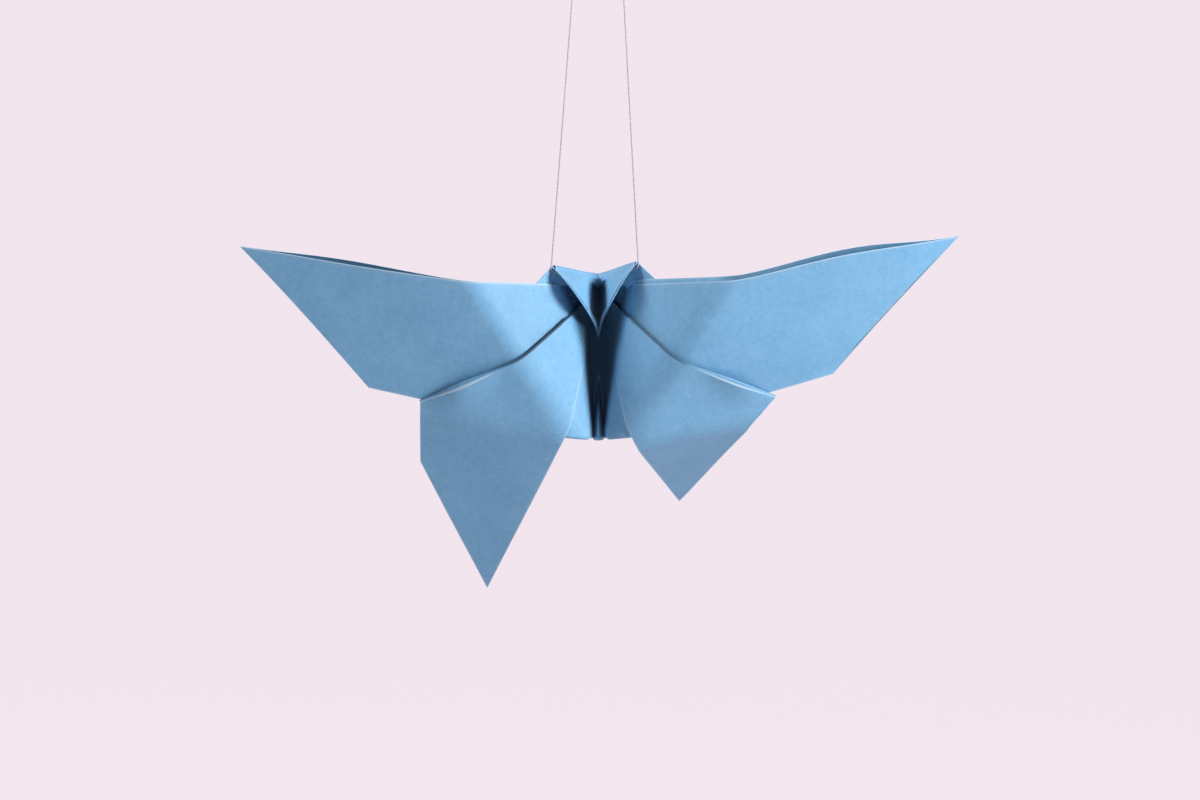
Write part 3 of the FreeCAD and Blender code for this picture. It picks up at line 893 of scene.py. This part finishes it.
def join_shells(name, shells):
    """One mesh of several closed shells, faces outwards, with the paleness kept as an attribute: pale cut
    edges, painted highlight and painted shade.
    """
    offsets = np.cumsum([0] + [len(points) for points, _, _ in shells])
    points = np.concatenate([points for points, _, _ in shells])
    faces = np.concatenate([faces + offset for (_, faces, _), offset in zip(shells, offsets)])
    mesh = smooth_mesh(name, points, faces)
    attribute = mesh.attributes.new("paleness", "FLOAT", "POINT")
    attribute.data.foreach_set("value", np.concatenate([pale for _, _, pale in shells]).astype(np.float32))
    work = bmesh.new()
    work.from_mesh(mesh)
    bmesh.ops.recalc_face_normals(work, faces=work.faces)
    work.to_mesh(mesh)
    work.free()
    mesh.set_sharp_from_angle(angle=sharp_from)
    return add_object(name, mesh)


sheet = join_shells("paper_sheet", shells)
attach(sheet, "root")
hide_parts("folded_sheet")
print("sheet quads", len(sheet.data.polygons))

# %% [markdown]
# ## Node maths
# A finish is a net of nodes. Written as Python expressions it stays readable: one small class turns
# each sign into a Math node, and one method adds every other kind of node. Colours never go through
# the signs, because a Math node turns a colour grey.

# %% Node maths
class Flow:
    """A socket that can be added, subtracted and multiplied: each sign adds one Math node."""

    def __init__(self, tree, socket):
        self.tree = tree
        self.socket = socket

    def math(self, operation, first, second):
        """One Math node on two values, either of which may be a number."""
        node = self.tree.nodes.new("ShaderNodeMath")
        node.operation = operation
        for slot, value in zip(node.inputs, (first, second)):
            if isinstance(value, Flow):
                self.tree.links.new(value.socket, slot)
            else:
                slot.default_value = value
        return Flow(self.tree, node.outputs[0])

    def __add__(self, other):
        return self.math("ADD", self, other)

    def __sub__(self, other):
        return self.math("SUBTRACT", self, other)

    def __rsub__(self, other):
        return self.math("SUBTRACT", other, self)

    def __mul__(self, other):
        return self.math("MULTIPLY", self, other)

    __radd__ = __add__
    __rmul__ = __mul__


print("signs that make nodes:", [name for name in ("__add__", "__sub__", "__mul__") if name in vars(Flow)])


# %% Adding nodes
class Finish:
    """A material or world under construction, and the one method that adds any node to it."""

    def __init__(self, material):
        self.material = material
        self.material.use_nodes = True
        self.tree = self.material.node_tree
        self.tree.nodes.clear()

    def add(self, kind, settings=None, inputs=None, output=0):
        """Add a node, set its settings, then its sockets, and give the flow out of it."""
        node = self.tree.nodes.new(kind)
        for name, value in (settings or {}).items():
            setattr(node, name, value)
        for name, value in (inputs or {}).items():
            if isinstance(value, Flow):
                self.tree.links.new(value.socket, node.inputs[name])
            else:
                node.inputs[name].default_value = value
        return Flow(self.tree, node.outputs[output]) if node.outputs else None


def mix_colours(finish, share, first, second):
    """The colour a share of the way from first to second; the share is held between 0 and 1.

    A Mix node's colours are its sockets 6 and 7, and its mixed colour is output 2.
    """
    return finish.add("ShaderNodeMix", {"data_type": "RGBA"}, {0: share, 6: first, 7: second}, output=2)


print("a finish is written with", Finish.__name__, "and", mix_colours.__name__)

# %% [markdown]
# ## Blue paper
# Tinted paper is matt, lets a little light through, and shows fine fibres and faint clouds where
# they lie thicker. Its cut edges are paler, because the fibres break open there. The pale line along
# each rim's fold is a painted highlight, and the dark blue in folds is painted shade. An image of
# paper would repeat itself; noise at three scales never does.

# %% Paper
paper_blue = (0.15, 0.40, 0.66, 1.0)
paper_blue_light = (0.24, 0.53, 0.80, 1.0)
# The pale colour of cut edges, also used for the painted highlight on the rims' folds.
pale_edge_and_highlight = (0.62, 0.80, 0.92, 1.0)
# The dark blue of the painted shade.
painted_shade_blue = (0.002, 0.035, 0.075, 1.0)
cloud_share = 0.9
fibre_share = 1.3
grain_share = 1.3
tone_shift = 1.25
edge_and_highlight_strength = 0.75
shade_strength = 0.9
fibre_height = 0.5
paper_roughness = 0.48
roughness_spread = 0.12
see_through = 0.06


def blue_paper():
    """Matt tinted paper: clouds and fibres in its colour, a fine bump, pale edges, painted highlight and
    shade, some light through.

    The attribute is above 0 at pale cut edges and at the painted highlight on the rims' folds, and
    below 0 in painted shade. A Mix node's share is never below 0, so the mix with the pale colour acts
    on the first and the one with the painted shade's dark blue on the second.
    """
    finish = Finish(bpy.data.materials.new("blue_paper"))
    here = finish.add("ShaderNodeTexCoord", output="Object")
    clouds = finish.add("ShaderNodeTexNoise", None, {"Vector": here, "Scale": 130.0, "Detail": 4.0})
    fibres = finish.add("ShaderNodeTexNoise", None, {"Vector": here, "Scale": 2600.0, "Detail": 3.0,
                                                     "Roughness": 0.7})
    grain = finish.add("ShaderNodeTexNoise", None, {"Vector": here, "Scale": 900.0, "Detail": 5.0,
                                                    "Roughness": 0.6})
    tone = clouds * cloud_share + fibres * fibre_share + grain * grain_share - tone_shift
    colour = mix_colours(finish, tone, paper_blue, paper_blue_light)
    paleness = finish.add("ShaderNodeAttribute", {"attribute_name": "paleness"}, output=2)
    # Pale cut edges, and the painted highlight along the rims' folds.
    colour = mix_colours(finish, paleness * edge_and_highlight_strength, colour, pale_edge_and_highlight)
    # Painted shade: dark blue in the cleft, the head's valley, the rims' folds and the wings' pockets.
    colour = mix_colours(finish, paleness * -shade_strength, colour, painted_shade_blue)
    bump = finish.add("ShaderNodeBump", None, {"Height": fibres * fibre_height + grain,
                                               "Strength": 0.25, "Distance": 0.00006})
    front = finish.add("ShaderNodeBsdfPrincipled", None, {
        "Base Color": colour, "Roughness": paper_roughness + roughness_spread * fibres, "Normal": bump,
        "Specular IOR Level": 0.55, "Sheen Weight": 0.08, "Sheen Roughness": 0.6})
    through = finish.add("ShaderNodeBsdfTranslucent", None, {"Color": paper_blue_light})
    mixed = finish.add("ShaderNodeMixShader", None, {0: see_through, 1: front, 2: through})
    finish.add("ShaderNodeOutputMaterial", None, {"Surface": mixed})
    return finish.material


sheet.data.materials.append(blue_paper())
print("nodes in the paper's finish:", len(sheet.active_material.node_tree.nodes))

# %% [markdown]
# ## Spun thread
# The thread is pale grey violet, and its twist shows as slightly darker and lighter places. The knot
# is the same thread, so it takes the same finish.

# %% Thread finish
thread_dark = (0.34, 0.31, 0.38, 1.0)
thread_light = (0.58, 0.54, 0.64, 1.0)
twist_share = 0.5
thread_roughness = 0.45
fuzz_spread = 0.2


def pale_thread():
    """Fine spun thread: pale grey violet, slightly uneven along its length, with a soft gloss."""
    finish = Finish(bpy.data.materials.new("pale_thread"))
    here = finish.add("ShaderNodeTexCoord", output="Object")
    twist = finish.add("ShaderNodeTexWave", {"bands_direction": "DIAGONAL"},
                       {"Vector": here, "Scale": 700.0, "Distortion": 1.5})
    fuzz = finish.add("ShaderNodeTexNoise", None, {"Vector": here, "Scale": 1500.0, "Detail": 2.0})
    share = twist * twist_share + fuzz * (1.0 - twist_share)
    colour = mix_colours(finish, share, thread_dark, thread_light)
    surface = finish.add("ShaderNodeBsdfPrincipled", None, {
        "Base Color": colour, "Roughness": thread_roughness + fuzz_spread * fuzz,
        "Specular IOR Level": 0.5})
    finish.add("ShaderNodeOutputMaterial", None, {"Surface": surface})
    return finish.material


thread_finish = pale_thread()
thread.data.materials.append(thread_finish)
knot.data.materials.append(thread_finish)
print("nodes in the thread's finish:", len(thread_finish.node_tree.nodes))

# %% [markdown]
# ## Light
# A small lamp close by on the right, in front of the wings, brings out the bends. A larger one, high
# up on the left, lights the other side softly. A sun would light both sides alike.

# %% Lamps
def soft_lamp(name, place_mm, size_mm, watts):
    """A square area lamp that looks at the middle of the wings' top edge."""
    lamp_data = bpy.data.lights.new(name, "AREA")
    lamp_data.shape = "SQUARE"
    lamp_data.size = size_mm * MM
    lamp_data.energy = watts
    lamp = add_object(name, lamp_data)
    towards = -np.array(place_mm, dtype=float)
    lamp.rotation_euler = Vector(towards).to_track_quat("-Z", "Y").to_euler()
    lamp.location = np.array(place_mm) * MM + top_edge * MM
    return lamp


lamps = [soft_lamp("key_right", (272.0, -190.0, 88.0), 110.0, 1.5),
         soft_lamp("fill_above", (-500.0, -130.0, 420.0), 260.0, 3.7)]
print("lamps, in watts:", {lamp.name: round(lamp.data.energy, 2) for lamp in lamps})

# %% [markdown]
# ## The pale room
# The room's light on the paper is weak. The background is pale because of its own colour and the way
# camera, mirror and glass rays see it, not because of more light on the paper.

# %% World
background = (0.90, 0.795, 0.868, 1.0)
room_light = 0.05


def seen_rays(finish):
    """1 for camera, mirror and glass rays, and 0 for the rays that carry light onto the paper."""
    rays = [finish.add("ShaderNodeLightPath", output=name)
            for name in ("Is Camera Ray", "Is Glossy Ray", "Is Transmission Ray")]
    return finish.add("ShaderNodeClamp", None, {0: rays[0] + rays[1] + rays[2]})


def pale_world(name):
    """A world that rays from the camera see as the background, and that lights the paper weakly."""
    world = bpy.data.worlds.new(name)
    finish = Finish(world)
    seen = seen_rays(finish)
    light = finish.add("ShaderNodeBackground", None, {"Color": background,
                                                      "Strength": room_light + (1.0 - room_light) * seen})
    finish.add("ShaderNodeOutputWorld", None, {"Surface": light})
    return world


bpy.context.scene.world = pale_world("studio")
print("room light", room_light)

# %% [markdown]
# ## The studio sweep
# A floor far below the butterfly curves up into a backdrop behind it, so no line shows where the two
# meet. It isn't part of the object.

# %% Stage
lit_floor = (0.62, 0.58, 0.62, 1.0)
plain_share = 0.94
plain_strength = 1.04
floor_up = -150.0
sweep_height = 1200.0
sweep_front = -1500.0
sweep_back = 1800.0
sweep_width = 4200.0
sweep_radius = 500.0
sweep_steps = 24


def pale_studio(name, colour, lit_colour):
    """A stage finish: camera, mirror and glass rays see a plain colour, mixed with the lit surface."""
    finish = Finish(bpy.data.materials.new(name))
    seen = seen_rays(finish)
    lit = finish.add("ShaderNodeBsdfDiffuse", None, {"Color": lit_colour})
    plain = finish.add("ShaderNodeEmission", None, {"Color": colour, "Strength": plain_strength})
    mixed = finish.add("ShaderNodeMixShader", None, {0: seen * plain_share, 1: lit, 2: plain})
    finish.add("ShaderNodeOutputMaterial", None, {"Surface": mixed})
    return finish.material


def studio_sweep():
    """A floor that curves up into a backdrop: a quarter circle between two straight runs."""
    turn = np.linspace(0.0, 0.5 * math.pi, sweep_steps)
    depth = np.concatenate([[sweep_front], sweep_back - sweep_radius + sweep_radius * np.sin(turn),
                            [sweep_back]])
    up = np.concatenate([[floor_up], floor_up + sweep_radius * (1.0 - np.cos(turn)), [sweep_height]])
    sides = np.array([-0.5 * sweep_width, 0.5 * sweep_width])
    points = np.stack(np.broadcast_arrays(sides[None, :], depth[:, None], up[:, None]), axis=-1)
    points = (points + top_edge) * MM
    sweep = add_object("studio_floor", smooth_mesh("studio_floor", points, grid_faces(2, len(depth))))
    sweep.data.materials.append(pale_studio("pale_studio", background, lit_floor))
    return sweep


stage = studio_sweep()
print("stage faces", len(stage.data.polygons))

bpy.context.scene.view_settings.view_transform = "Standard"
bpy.context.view_layer.update()
